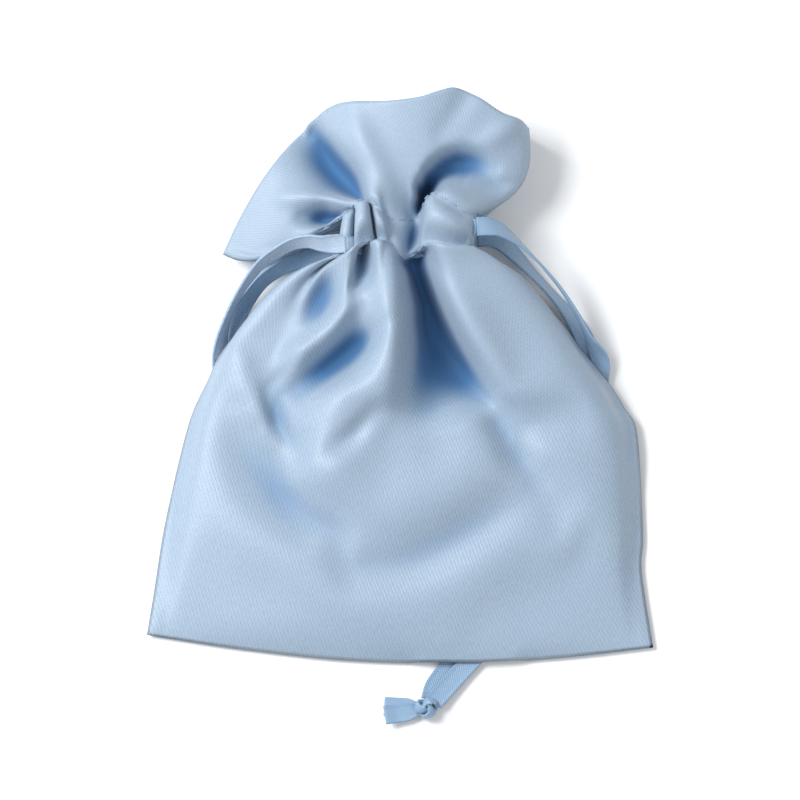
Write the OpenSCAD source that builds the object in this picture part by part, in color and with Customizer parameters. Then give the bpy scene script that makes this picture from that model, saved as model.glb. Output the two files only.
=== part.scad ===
// Drawstring gift pouch in satin, drawn closed and lying on its back.
// X runs to the right, Y from the bottom seam to the mouth, Z up from the table.
// The origin is on the table, under the middle of the pouch.

/* [Pouch] */
// Width of the pouch across its bottom corners
pouch_w = 80; // [76:1:84]
// Length of the lying pouch, from the bottom seam to the top of the frill
pouch_len = 90; // [88:1:92]
// Height of the stuffed front above the back panel
loft = 13.2; // [12:0.2:14]
// Thickness of the soft front and of the frill
cloth_t = 0.6; // [0.5:0.1:0.8]
// Thickness of the soft back, which has room for the ribbons under it
back_t = 2.2; // [2.1:0.1:2.6]

/* [Casing] */
// Number of gathered pleats on each side of the neck
pleats = 5; // [5:1:5]
// Distance from one pleat to the next
pleat_pitch = 3.6; // [3.4:0.1:3.8]
// Radius of one pleat
pleat_r = 2.1; // [2:0.05:2.2]
// Length of the casing between its two stitch lines
casing_len = 6.4; // [6:0.1:6.8]
// Height of the front ribbon above the table, inside its tunnel
front_run_z = 13.5; // [13.4:0.1:13.8]
// Height of the back ribbon above the table, inside its tunnel
back_run_z = 3.5; // [3.3:0.1:3.6]

/* [Ribbons] */
// Width of the ribbon where it lies free
ribbon_w = 3; // [2.6:0.1:3]
// Width of the ribbon where the casing bunches it
bunched_w = 2.2; // [2:0.1:2.2]
// Thickness of the ribbon
ribbon_t = 0.5; // [0.4:0.1:0.5]
// Radius of the knot that ties two strands together
knot_r = 1.2; // [1:0.1:1.3]
// How far each ribbon can still be pulled
pull = 3; // [1:0.5:3]

/* [Hidden] */

satin = [0.68, 0.77, 0.87];
satin_dark = [0.55, 0.68, 0.81];
ribbon_blue = [0.53, 0.70, 0.81];
thread_blue = [0.40, 0.56, 0.73];

bottom_y = -pouch_len / 2;
// Middle of the casing, along the pouch and across it
casing_y = 21.5;
neck_x = 1.8;
stitch_t = 0.4;
lower_line_y = casing_y - casing_len / 2 - stitch_t;
upper_line_y = casing_y + casing_len / 2 + stitch_t;
neck_half = (pleats - 1) / 2 * pleat_pitch + pleat_r;

// Half widths of the body as parts of the pouch's width, from the corner up to the neck
left_side = [[0, 0.5], [0.1, 0.486], [0.3, 0.464], [0.5, 0.430], [0.64, 0.392], [0.76, 0.345],
    [0.87, 0.275], [0.95, 0.19], [1, 0.105]];
right_side = [[0, 0.5], [0.1, 0.488], [0.3, 0.479], [0.5, 0.476], [0.64, 0.442], [0.76, 0.385],
    [0.87, 0.308], [0.95, 0.235], [1, 0.145]];
left_corner_y = bottom_y + 4.5;
right_corner_y = bottom_y + 2.5;
bottom_bow = 3.43;
// The seams' share of the half width, and of the body's length
seam_u = 0.03;
seam_v = 0.02;

// Height of the stuffed front along the body, as a part of the loft: it rises to 1 at loft_top
loft_top = 0.5;
function rise(v) = pow(sin(90 * min(1, v / loft_top)), 0.8);
function dome(u) = pow(max(0, 1 - u * u), 0.7);

// A place on the lying body: u runs from the left side to the right, v from the bottom to the neck
function body_x(u, v) = pouch_w * (lookup(v, right_side) * (1 + u) - lookup(v, left_side) * (1 - u)) / 2;
function corner_y(u) = left_corner_y * (1 - u) / 2 + right_corner_y * (1 + u) / 2;
function body_y(u, v) = corner_y(u) * (1 - v) + lower_line_y * v - bottom_bow * (1 - u * u) * pow(1 - v, 2);
function body_xy(u, v) = [body_x(u, v), body_y(u, v)];

function span(from, to, count) = [for (i = [0 : count]) from + (to - from) * i / count];

// A smooth curve through a list of points, at k from 0 to the last index
function curve_at(p, k) =
    let (last = len(p) - 1, i = min(floor(k), last - 1), f = k - i,
        a = p[max(i - 1, 0)], b = p[i], c = p[i + 1], d = p[min(i + 2, last)])
    0.5 * (2 * b + (c - a) * f + (2 * a - 5 * b + 4 * c - d) * f * f + (3 * b - a - 3 * c + d) * pow(f, 3));

// A closed skin between two grids of points, top over bottom, both as rows of the same length
module skin(top, bottom) {
    rows = len(top);
    cols = len(top[0]);
    half = rows * cols;
    function at(r, c) = r * cols + c;
    points = concat([for (row = top) each row], [for (row = bottom) each row]);
    top_faces = [for (r = [0 : rows - 2], c = [0 : cols - 2])
        each [[at(r, c), at(r + 1, c), at(r + 1, c + 1)], [at(r, c), at(r + 1, c + 1), at(r, c + 1)]]];
    bottom_faces = [for (f = top_faces) [f[2] + half, f[1] + half, f[0] + half]];
    rim = concat([for (c = [0 : cols - 2]) at(0, c)], [for (r = [0 : rows - 2]) at(r, cols - 1)],
        [for (c = [cols - 1 : -1 : 1]) at(rows - 1, c)], [for (r = [rows - 1 : -1 : 1]) at(r, 0)]);
    rim_faces = [for (i = [0 : len(rim) - 1])
        let (a = rim[i], b = rim[(i + 1) % len(rim)]) each [[a, b, b + half], [a, b + half, a + half]]];
    polyhedron(points, concat(top_faces, bottom_faces, rim_faces));
}

// ---- body ----

body_steps_u = 22;
body_steps_v = 16;
us = concat([-1], span(seam_u - 1, 1 - seam_u, body_steps_u), [1]);
vs = concat([0], span(seam_v, 1, body_steps_v));

module front_panel() {
    rows = [for (v = vs) [for (u = us) concat(body_xy(u, v), back_t + loft * rise(v) * dome(u))]];
    lifted = [for (row = rows) [for (p = row) p + [0, 0, cloth_t]]];
    color(satin) skin(lifted, rows);
}

// A flat piece of the body between two places in the list of u and two in the list of v
module body_zone(i0, i1, j0, j1) {
    polygon(concat(
        [for (i = [i0 : i1]) body_xy(us[i], vs[j0])],
        [for (j = [j0 + 1 : j1]) body_xy(us[i1], vs[j])],
        [for (i = [i1 - 1 : -1 : i0]) body_xy(us[i], vs[j1])],
        [for (j = [j1 - 1 : -1 : j0 + 1]) body_xy(us[i0], vs[j])]));
}
last_u = len(us) - 1;
last_v = len(vs) - 1;

// Room under the pouch for a pair of ribbons: a straight-sided groove from point to point
lane_h = 1.7;
module lane(points, width) {
    for (i = [0 : len(points) - 2])
        hull() {
            translate(points[i]) circle(d = width, $fn = 32);
            translate(points[i + 1]) circle(d = width, $fn = 32);
        }
}
left_lane = [[-29.6, 11.2], [-30, -4.6], [-28.8, -16.4], [-23.4, -27], [-13.2, -32.6], [-2.6, -34], [13, -32.5]];
right_lane = [[30.5, 12], [32.5, 3], [33.4, -6], [31.2, -18], [25, -29], [17, -38], [10.5, -45], [6, -50]];
lane_w = 10;

knot_room_r = 5;
knot_room_h = 3.9;
module knot_room(r, h) {
    translate([left_knot_at.x - pull / 2, left_knot_at.y, 0]) cylinder(r = r, h = h, $fn = 64);
}

module lanes() {
    translate([0, 0, -1]) linear_extrude(lane_h + 1) {
        lane(left_lane, lane_w);
        lane(right_lane, lane_w);
    }
}

module back_panel() {
    color(satin_dark) difference() {
        union() {
            linear_extrude(back_t) body_zone(1, last_u - 1, 1, last_v);
            knot_room(knot_room_r + cloth_t, knot_room_h + cloth_t);
        }
        lanes();
        translate([0, 0, -1]) knot_room(knot_room_r, knot_room_h + 1);
    }
}

module seam(i0, i1, j0, j1) {
    color(satin) difference() {
        linear_extrude(back_t) body_zone(i0, i1, j0, j1);
        lanes();
    }
}
module left_side_seam() { seam(0, 1, 1, last_v); }
module right_side_seam() { seam(last_u - 1, last_u, 1, last_v); }
module bottom_seam() { seam(0, last_u, 0, 1); }

// ---- casing ----

// A row of pleats across the neck, as round folds side by side
module pleat_row(z, r, length) {
    for (i = [0 : pleats - 1])
        translate([neck_x + (i - (pleats - 1) / 2) * pleat_pitch, 0, z])
            rotate([-90, 0, 0]) cylinder(r = r, h = length, $fn = 48);
}

tunnel_wall = 0.5;
tunnel_h = 1.2;
module casing(z) {
    difference() {
        translate([0, casing_y - casing_len / 2, 0]) pleat_row(z, pleat_r, casing_len);
        translate([neck_x - neck_half - 1, casing_y - casing_len / 2 + tunnel_wall, z - tunnel_h / 2])
            cube([2 * neck_half + 2, casing_len - 2 * tunnel_wall, tunnel_h]);
    }
}
module front_casing() { color(satin) casing(front_run_z); }
module back_casing() { color(satin_dark) casing(back_run_z); }

// A stitch line pinches the pleats a little thinner than the cloth beside it
pinch = 0.15;
module stitching(y, z) {
    color(thread_blue) translate([0, y, 0]) pleat_row(z, pleat_r - pinch, stitch_t);
}
module front_upper_stitching() { stitching(upper_line_y - stitch_t, front_run_z); }
module front_lower_stitching() { stitching(lower_line_y, front_run_z); }
module back_upper_stitching() { stitching(upper_line_y - stitch_t, back_run_z); }
module back_lower_stitching() { stitching(lower_line_y, back_run_z); }

// ---- frill above the casing ----

frill_top = pouch_len / 2;
front_hem = [[-27.5, 21.5, 3.4], [-22.5, 31, 6.5], [-16.5, 39, 10], [-9.5, 42.6, 12.6], [0, 43.2, 15],
    [8.5, frill_top, 14.6], [15, 42.8, 12], [20.5, 39, 7.5]];
back_hem = [[-27.5, 21.5, 0.6], [-22.5, 30, 0.8], [-15.5, 38, 1.4], [-8, 41.4, 2], [1, 42, 2.4],
    [9, 43.6, 2.6], [15.5, 42, 3], [20.5, 39, 4.6]];
front_gather_z = front_run_z - 1;
back_gather_z = back_run_z - 0.5;
// Flutes fade in from the neck and are deepest half way to the hem
flutes = 3;
flute_h = 0.8;

function gather_at(s, z) = [neck_x + neck_half * (2 * s - 1), upper_line_y, z];
function frill_at(s, t, hem, z) =
    let (a = gather_at(s, z), b = curve_at(hem, s * (len(hem) - 1)))
    a * (1 - t) + b * t + [0, 0, flute_h * sin(360 * flutes * s) * sin(180 * t)];
function frill_grid(places, hem, z, lift) =
    [for (t = span(0, 1, 8)) [for (s = places) frill_at(s, t, hem, z) + [0, 0, lift]]];

// The side seams take this share of the hem at each end
heading_seam_s = 0.04;
hem_places = concat([0], span(heading_seam_s, 1 - heading_seam_s, 28), [1]);
module heading(hem, z) {
    skin(frill_grid(hem_places, hem, z, cloth_t), frill_grid(hem_places, hem, z, 0));
}
module heading_seam(places) {
    skin(frill_grid(places, front_hem, front_gather_z, 0), frill_grid(places, back_hem, back_gather_z, cloth_t));
}
module front_heading() { color(satin) heading(front_hem, front_gather_z); }
module back_heading() { color(satin_dark) heading(back_hem, back_gather_z); }
module left_heading_seam() { color(satin) heading_seam([0, heading_seam_s]); }
module right_heading_seam() { color(satin) heading_seam([1 - heading_seam_s, 1]); }

// ---- drawstrings ----

// The right ribbon runs in the upper lane of the casing, the left one in the lower
ribbon_lane = 1.35;
left_run_y = casing_y - ribbon_lane;
right_run_y = casing_y + ribbon_lane;
// The runs start this far outside the casing, and the loop at the other end leaves room to be pulled
exit_gap = 1;
loop_gap = pull + 0.8;
left_exit_x = neck_x - neck_half - exit_gap;
right_exit_x = neck_x + neck_half + exit_gap;

// The ribbon inside the casing: along the front, round the far side and back along the back
module casing_loop(y) {
    low = back_run_z - ribbon_t / 2;
    high = front_run_z + ribbon_t / 2;
    far = 2 * neck_half + exit_gap + loop_gap;
    bend_r = 1.5;
    function bend(x, z, r, from) = [for (a = span(from, from - 90, 6)) [x + r * cos(a), z + r * sin(a)]];
    outer = concat([[0, high]], bend(far - bend_r, high - bend_r, bend_r, 90),
        bend(far - bend_r, low + bend_r, bend_r, 0), [[0, low]]);
    inner = concat([[0, high - ribbon_t]], bend(far - bend_r, high - bend_r, bend_r - ribbon_t, 90),
        bend(far - bend_r, low + bend_r, bend_r - ribbon_t, 0), [[0, low + ribbon_t]]);
    turned = [for (i = [len(inner) - 1 : -1 : 0]) inner[i]];
    translate([0, y + bunched_w / 2, 0]) rotate([90, 0, 0])
        linear_extrude(bunched_w) polygon(concat(outer, turned));
}
module left_casing_loop() {
    color(ribbon_blue) translate([left_exit_x, 0, 0]) casing_loop(left_run_y);
}
module right_casing_loop() {
    color(ribbon_blue) translate([right_exit_x, 0, 0]) mirror([1, 0, 0]) casing_loop(right_run_y);
}

// Each free strand's route: x, y, z and the ribbon's roll, which is 0 flat and 90 on its edge
left_front_route = [
    [left_exit_x, left_run_y, front_run_z, 0], [-10.5, 20.1, 13.3, 25], [-12.4, 20.2, 12.8, 48],
    [-14.6, 20.7, 11.9, 60], [-17, 20.5, 10.6, 64], [-19.5, 19.4, 9.1, 66], [-22, 17.8, 7.4, 70],
    [-24.2, 15.3, 5.8, 75],
    [-26.2, 12.2, 4.4, 78], [-27.6, 9, 3.2, 72], [-28.3, 6, 2.2, 50], [-28.2, 3, 1.3, 10],
    [-28, -1, 1, 0], [-28.2, -8, 1, 0], [-27.6, -14, 1, 0], [-25.2, -21, 1, 0], [-20.5, -27.4, 1, 0],
    [-13.5, -31.6, 1, 0], [-6, -33.2, 1, 0], [0, -33.2, 1.2, 0], [3.4, -32.8, 1.5, 0]];
left_back_route = [
    [left_exit_x, left_run_y, back_run_z, 0], [-10.5, 20, 3.4, 0], [-13, 19.9, 3.2, 20],
    [-16, 19.3, 2.9, 40], [-19, 18, 2.6, 50], [-21.8, 16, 2.3, 52], [-24, 13.2, 1.9, 46],
    [-25.8, 10.4, 1.3, 25], [-27, 7, 0.5, 0], [-27.5, 3.6, 0.35, 0],
    [-27.4, -1, 0.35, 0], [-27.6, -8, 0.35, 0], [-26.8, -14, 0.35, 0], [-24.2, -20.8, 0.35, 0],
    [-19.4, -26.4, 0.35, 0], [-12.9, -29.9, 0.35, 0], [-5.8, -31.5, 0.35, 0], [0, -31.7, 0.6, 0],
    [3.4, -31.9, 0.9, 0]];
right_front_route = [
    [right_exit_x, right_run_y, front_run_z, 0], [14, 22.9, 13.2, 12], [15.8, 22.6, 12.3, 40],
    [18.2, 21.2, 10.9, 66], [20.6, 19.2, 9.2, 78], [23, 16.9, 7.6, 84], [25.6, 13.9, 6, 88],
    [28, 10.3, 4.6, 94],
    [29.9, 6.7, 3.2, 106], [31.6, 3.4, 1.7, 155], [31.5, 0.6, 1.15, 175], [31.2, -4, 1, 180],
    [30.8, -10, 1, 180], [29.8, -16, 1, 180], [27.2, -23.2, 1, 180], [23, -30.4, 1, 180],
    [18, -37, 1, 180], [13.4, -42.2, 1, 180],
    [9.6, -46.4, 1, 180], [7, -49.4, 1.2, 180], [5.4, -51.3, 1.5, 180]];
right_back_route = [
    [right_exit_x, right_run_y, back_run_z, 0], [14, 22.9, 3.3, 5], [16, 22.2, 3, 15],
    [18.4, 20, 2.6, 40], [21, 17.2, 2.3, 58], [24.2, 13.8, 2, 60], [27.1, 10.3, 1.6, 42],
    [29.3, 6.6, 0.85, 8],
    [30.2, 3, 0.4, 0], [30.8, -2.5, 0.35, 0], [30.4, -9, 0.35, 0], [29, -15.4, 0.35, 0],
    [26, -22.6, 0.35, 0], [21.6, -29.4, 0.35, 0], [16.6, -35.6, 0.35, 0], [12, -40.8, 0.35, 0],
    [8.2, -45, 0.35, 0], [5.6, -48.4, 0.6, 0], [4.8, -50.9, 0.9, 0]];
left_knot_at = [5.2, -32.4, knot_r + 0.4];
right_knot_at = [4.2, -52.3, knot_r + 0.4];

function unit(p) = p / norm(p);
function place(p) = [p[0], p[1], p[2]];

// A flat ribbon swept along a route, as a tube with eight sides
strand_sides = 8;
strand_step = 0.5;
module strand(route) {
    last = len(route) - 1;
    ks = span(0, last, round(last / strand_step));
    rings = [for (k = ks)
        let (p = curve_at(route, k), before = place(curve_at(route, max(0, k - 0.05))),
            after = place(curve_at(route, min(last, k + 0.05))),
            along = k == 0 ? [sign(after.x - before.x), 0, 0] : unit(after - before),
            side = unit(cross(along, [0, 0, 1])), up = cross(side, along),
            wide = cos(p[3]) * side + sin(p[3]) * up, thick = cross(wide, along))
        [for (i = [0 : strand_sides - 1])
            let (a = 360 * (i + 0.5) / strand_sides)
            place(p) + ribbon_w / 2 * cos(a) / cos(180 / strand_sides) * wide
                + ribbon_t / 2 * sin(a) / cos(180 / strand_sides) * thick]];
    points = [for (ring = rings) each ring];
    sides = [for (r = [0 : len(rings) - 2], i = [0 : strand_sides - 1])
        let (a = r * strand_sides + i, b = r * strand_sides + (i + 1) % strand_sides)
        each [[a, b, b + strand_sides], [a, b + strand_sides, a + strand_sides]]];
    first = [for (i = [strand_sides - 1 : -1 : 0]) i];
    end = [for (i = [0 : strand_sides - 1]) (len(rings) - 1) * strand_sides + i];
    color(ribbon_blue) polyhedron(points, concat(sides, [first, end]));
}
module left_front_strand() { strand(left_front_route); }
module left_back_strand() { strand(left_back_route); }
module right_front_strand() { strand(right_front_route); }
module right_back_strand() { strand(right_back_route); }

// An overhand knot: a round core with two turns of ribbon pulled tight over it
turn_r = 0.45;
turn_sink = 0.1;
module knot(at) {
    color(ribbon_blue) translate(at) {
        sphere(r = knot_r, $fn = 32);
        for (tilt = [-35, 35])
            rotate([tilt, 90, 20]) rotate_extrude($fn = 48)
                translate([knot_r - turn_sink, 0]) circle(r = turn_r, $fn = 24);
    }
}
module left_knot() { knot(left_knot_at); }
module right_knot() { knot(right_knot_at); }

// The two cut ends beyond the knot, one on the other and a little apart
tail_len = 7.4;
tail_spread = 7;
tail_z = [0.1, 0.75];
module tails(at, direction) {
    color(ribbon_blue) for (side = [-1, 1])
        translate([at.x, at.y, side < 0 ? tail_z[0] : tail_z[1]])
            rotate(direction + side * tail_spread) translate([knot_r, -ribbon_w / 2, 0])
                cube([tail_len - knot_r, ribbon_w, ribbon_t]);
}
module left_tails() { tails(left_knot_at, 5); }
module right_tails() { tails(right_knot_at, 183); }

front_panel();
back_panel();
left_side_seam();
right_side_seam();
bottom_seam();
front_casing();
back_casing();
front_heading();
back_heading();
left_heading_seam();
right_heading_seam();
front_upper_stitching();
front_lower_stitching();
back_upper_stitching();
back_lower_stitching();
left_casing_loop();
left_front_strand();
left_back_strand();
left_knot();
left_tails();
right_casing_loop();
right_front_strand();
right_back_strand();
right_knot();
right_tails();
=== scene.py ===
import math

import bmesh
import bpy
import numpy as np
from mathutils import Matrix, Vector


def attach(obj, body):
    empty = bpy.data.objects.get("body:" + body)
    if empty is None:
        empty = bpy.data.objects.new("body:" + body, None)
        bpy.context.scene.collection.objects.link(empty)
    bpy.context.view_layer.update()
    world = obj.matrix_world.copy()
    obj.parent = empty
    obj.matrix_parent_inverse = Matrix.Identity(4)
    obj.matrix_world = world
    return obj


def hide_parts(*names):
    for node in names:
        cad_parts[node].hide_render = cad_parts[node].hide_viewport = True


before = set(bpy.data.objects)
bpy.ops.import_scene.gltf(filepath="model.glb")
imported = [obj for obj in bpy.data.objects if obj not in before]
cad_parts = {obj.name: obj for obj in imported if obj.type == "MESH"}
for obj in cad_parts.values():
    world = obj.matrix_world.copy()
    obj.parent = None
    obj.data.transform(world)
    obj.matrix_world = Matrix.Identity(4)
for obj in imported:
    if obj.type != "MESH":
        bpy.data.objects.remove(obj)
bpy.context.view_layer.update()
mm = 0.001
scene = bpy.context.scene


# Shared helpers

# Points evenly spaced along a smooth curve through given points, and the curve's length
def spline(points, count):
    p = np.array(points, float)
    q = np.vstack([2 * p[0] - p[1], p, 2 * p[-1] - p[-2]])
    out = []
    for i in range(len(p) - 1):
        a, b, c, d = q[i:i + 4]
        for f in np.linspace(0, 1, 24, endpoint=False):
            out.append(0.5 * (2 * b + (c - a) * f + (2 * a - 5 * b + 4 * c - d) * f * f
                              + (3 * b - a - 3 * c + d) * f ** 3))
    out.append(p[-1])
    out = np.array(out)
    steps = np.linalg.norm(np.diff(out[:, :3], axis=0), axis=1)
    far = np.concatenate([[0], np.cumsum(steps)])
    places = np.linspace(0, far[-1], count)
    made = np.stack([np.interp(places, far, out[:, k]) for k in range(out.shape[1])], 1)
    return made, far[-1]


def smooth(x):
    x = np.clip(x, 0, 1)
    return x * x * (3 - 2 * x)


def unit(v):
    return v / np.maximum(np.linalg.norm(v, axis=-1, keepdims=True), 1e-12)


# Distance from points in the plane to a line of points, and how far along the line, from 0 to 1
def nearLine(x, y, line):
    best = np.full(np.shape(x), 1e9)
    along = np.zeros(np.shape(x))
    side = np.zeros(np.shape(x))
    last = len(line) - 1
    for i in range(last):
        a, b = line[i][:2], line[i + 1][:2]
        d = b - a
        f = np.clip(((x - a[0]) * d[0] + (y - a[1]) * d[1]) / max(d @ d, 1e-12), 0, 1)
        dx = x - a[0] - f * d[0]
        dy = y - a[1] - f * d[1]
        dist = np.hypot(dx, dy)
        nearer = dist < best
        best = np.where(nearer, dist, best)
        along = np.where(nearer, (i + f) / last, along)
        side = np.where(nearer, np.sign(d[0] * dy - d[1] * dx), side)
    return best, along, side


# Average of each grid point and its neighbours, some times over, with the borders kept
def relax(grid, times):
    g = grid.copy()
    for _ in range(times):
        inner = (g[:-2, 1:-1] + g[2:, 1:-1] + g[1:-1, :-2] + g[1:-1, 2:]) / 4
        g[1:-1, 1:-1] = 0.5 * g[1:-1, 1:-1] + 0.5 * inner
    return g


def makeMesh(name, verts, faces, materials, uvs=None):
    data = bpy.data.meshes.new(name)
    data.from_pydata([tuple(v) for v in np.asarray(verts).tolist()], [], faces)
    data.polygons.foreach_set("use_smooth", [True] * len(data.polygons))
    if uvs is not None:
        layer = data.uv_layers.new(name="pattern")
        index = np.zeros(len(data.loops), int)
        data.loops.foreach_get("vertex_index", index)
        layer.data.foreach_set("uv", np.asarray(uvs, float)[index].ravel())
    for material in materials:
        data.materials.append(material)
    data.update()
    made = bpy.data.objects.new(name, data)
    scene.collection.objects.link(made)
    return made


# A shader value with arithmetic that adds nodes, and one method that adds any other node
class Value:
    def __init__(self, tree, socket):
        self.tree = tree
        self.socket = socket

    def node(self, kind, inputs=None, settings=None, output=0):
        made = self.tree.nodes.new(kind)
        for key, value in (settings or {}).items():
            setattr(made, key, value)
        for key, value in (inputs or {}).items():
            if isinstance(value, Value):
                self.tree.links.new(value.socket, made.inputs[key])
            else:
                made.inputs[key].default_value = value
        return Value(self.tree, made.outputs[output])

    def maths(self, operation, *others):
        inputs = {0: self}
        for i, other in enumerate(others):
            inputs[i + 1] = other
        return self.node("ShaderNodeMath", inputs, {"operation": operation})

    def __add__(self, other):
        return self.maths("ADD", other)

    __radd__ = __add__

    def __mul__(self, other):
        return self.maths("MULTIPLY", other)

    __rmul__ = __mul__

    def __sub__(self, other):
        return self.maths("SUBTRACT", other)

    def __rsub__(self, other):
        return self * -1 + other

    def mix(self, first, second):
        inputs = {0: self, 6: first, 7: second}
        return self.node("ShaderNodeMix", inputs, {"data_type": "RGBA"}, 2)


# A new material: its shader, and a value that stands for the piece's own pattern coordinates
def newMaterial(name):
    material = bpy.data.materials.new(name)
    material.use_nodes = True
    tree = material.node_tree
    shader = tree.nodes["Principled BSDF"]
    start = Value(tree, shader.outputs[0])
    uv = start.node("ShaderNodeUVMap", settings={"uv_map": "pattern"})
    across = uv.node("ShaderNodeSeparateXYZ", {0: uv}, output=0)
    along = Value(tree, across.socket.node.outputs[1])
    return material, tree, shader, uv, across, along


def colour(r, g, b):
    return (r, g, b, 1.0)


# Satin of the pouch

satinLook = {
    "face": colour(0.335, 0.425, 0.53),
    "shade": colour(0.20, 0.30, 0.42),
    # painted shade: the blue that the hollow attribute lays into the cloth's hollows
    "paintedShade": colour(0.022, 0.125, 0.30),
    "roughness": 0.5,
    "deepRoughness": 0.85,
    "sheen": 0.25,
    "twillPitch": 0.56,
    "crossPitch": 0.62,
    "twillDepth": 0.00006,
}


def satinMaterial():
    material, tree, shader, uv, across, along = newMaterial("satin_weave")
    s = across * 100
    t = along * 100
    twill = (s * 0.91 + t * 0.42) * (2 * math.pi / satinLook["twillPitch"])
    twill = twill.maths("SINE")
    cross = (t * 0.93 - s * 0.36) * (2 * math.pi / satinLook["crossPitch"])
    dots = twill * cross.maths("SINE")
    grain = uv.node("ShaderNodeMapping", {0: uv, 3: (260.0, 130.0, 1.0)})
    grain = uv.node("ShaderNodeTexNoise", {"Vector": grain, "Scale": 1.0, "Detail": 2.0})
    cloud = uv.node("ShaderNodeTexNoise", {"Vector": uv, "Scale": 14.0, "Detail": 3.0})
    # painted shade: the hollow attribute mixes the satin's colour towards the painted-shade blue in the
    # cloth's hollows
    hollow = uv.node("ShaderNodeAttribute", settings={"attribute_name": "hollow"}, output=2)
    toned = grain * 0.75 + cloud * 0.2 + twill * 0.15 + dots * 0.20 - 0.16
    face = toned.mix(satinLook["face"], satinLook["shade"])
    full = hollow.mix(face, satinLook["paintedShade"])
    tree.links.new(full.socket, shader.inputs["Base Color"])
    height = twill * 0.4 + dots * 0.4 + grain * 1.2
    bump = uv.node("ShaderNodeBump", {"Height": height, "Strength": 0.35,
                                       "Distance": satinLook["twillDepth"]})
    tree.links.new(bump.socket, shader.inputs["Normal"])
    rough = hollow * (satinLook["deepRoughness"] - satinLook["roughness"]) + satinLook["roughness"]
    tree.links.new(rough.socket, shader.inputs["Roughness"])
    shader.inputs["Sheen Weight"].default_value = satinLook["sheen"]
    shader.inputs["Sheen Roughness"].default_value = 0.4
    shader.inputs["Specular IOR Level"].default_value = 0.6
    return material


ribbonLook = {
    "left": colour(0.42, 0.52, 0.64),
    # the right ribbon's darker face, also laid on the left ribbon's back strand as painted shade
    "right": colour(0.24, 0.37, 0.53),
    "edge": colour(0.16, 0.29, 0.45),
    "roughness": 0.36,
    "ribPitch": 0.42,
}


def ribbonMaterial(name, face):
    material, tree, shader, uv, across, along = newMaterial(name)
    ribs = (along * (100 * 2 * math.pi / ribbonLook["ribPitch"])).maths("SINE")
    checks = (across * (2 * math.pi * 6)).maths("SINE")
    weave = ribs * checks
    rim = (across - 0.5).maths("ABSOLUTE")
    rim = rim.node("ShaderNodeMapRange", {0: rim, 1: 0.30, 2: 0.47, 3: 0.0, 4: 1.0})
    glints = uv.node("ShaderNodeMapping", {0: uv, 3: (9.0, 170.0, 1.0)})
    glints = uv.node("ShaderNodeTexNoise", {"Vector": glints, "Scale": 1.0, "Detail": 1.0})
    toned = weave * 0.25 + glints * 0.8 + rim * 0.25 - 0.15
    base = toned.mix(face, ribbonLook["edge"])
    tree.links.new(base.socket, shader.inputs["Base Color"])
    bump = uv.node("ShaderNodeBump", {"Height": weave * 0.6 + rim * 1.2, "Strength": 0.6,
                                       "Distance": 0.0001})
    tree.links.new(bump.socket, shader.inputs["Normal"])
    shader.inputs["Roughness"].default_value = ribbonLook["roughness"]
    shader.inputs["Sheen Weight"].default_value = 0.2
    shader.inputs["Specular IOR Level"].default_value = 0.6
    return material


def threadMaterial():
    material, tree, shader, uv, _, _ = newMaterial("sewing_thread")
    twist = uv.node("ShaderNodeTexCoord", output=3)
    fuzz = uv.node("ShaderNodeTexNoise", {"Vector": twist, "Scale": 2600.0, "Detail": 2.0})
    tone = fuzz.mix(colour(0.36, 0.46, 0.58), colour(0.22, 0.33, 0.47))
    tree.links.new(tone.socket, shader.inputs["Base Color"])
    shader.inputs["Roughness"].default_value = 0.55
    return material


satin = satinMaterial()
leftRibbon = ribbonMaterial("ribbon_left", ribbonLook["left"])
rightRibbonAndPaintedShade = ribbonMaterial("ribbon_right_and_painted_shade", ribbonLook["right"])
thread = threadMaterial()


# Camera

cameraValues = {"azimuth": 0.0, "elevation": 80.0, "target": (0.0, -0.0035, 0.005), "width": 0.1264}


def addCamera():
    data = bpy.data.cameras.new("camera")
    data.type = "ORTHO"
    data.ortho_scale = cameraValues["width"]
    data.clip_start = 0.01
    data.clip_end = 10
    made = bpy.data.objects.new("camera", data)
    scene.collection.objects.link(made)
    turn = math.radians(cameraValues["azimuth"])
    tilt = math.radians(cameraValues["elevation"])
    look = Vector((-math.sin(turn) * math.cos(tilt), math.cos(turn) * math.cos(tilt), -math.sin(tilt)))
    made.location = Vector(cameraValues["target"]) - look * 0.6
    made.rotation_euler = look.to_track_quat("-Z", "Y").to_euler()
    scene.camera = made


addCamera()
print("camera done")


# Drawstrings

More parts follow.
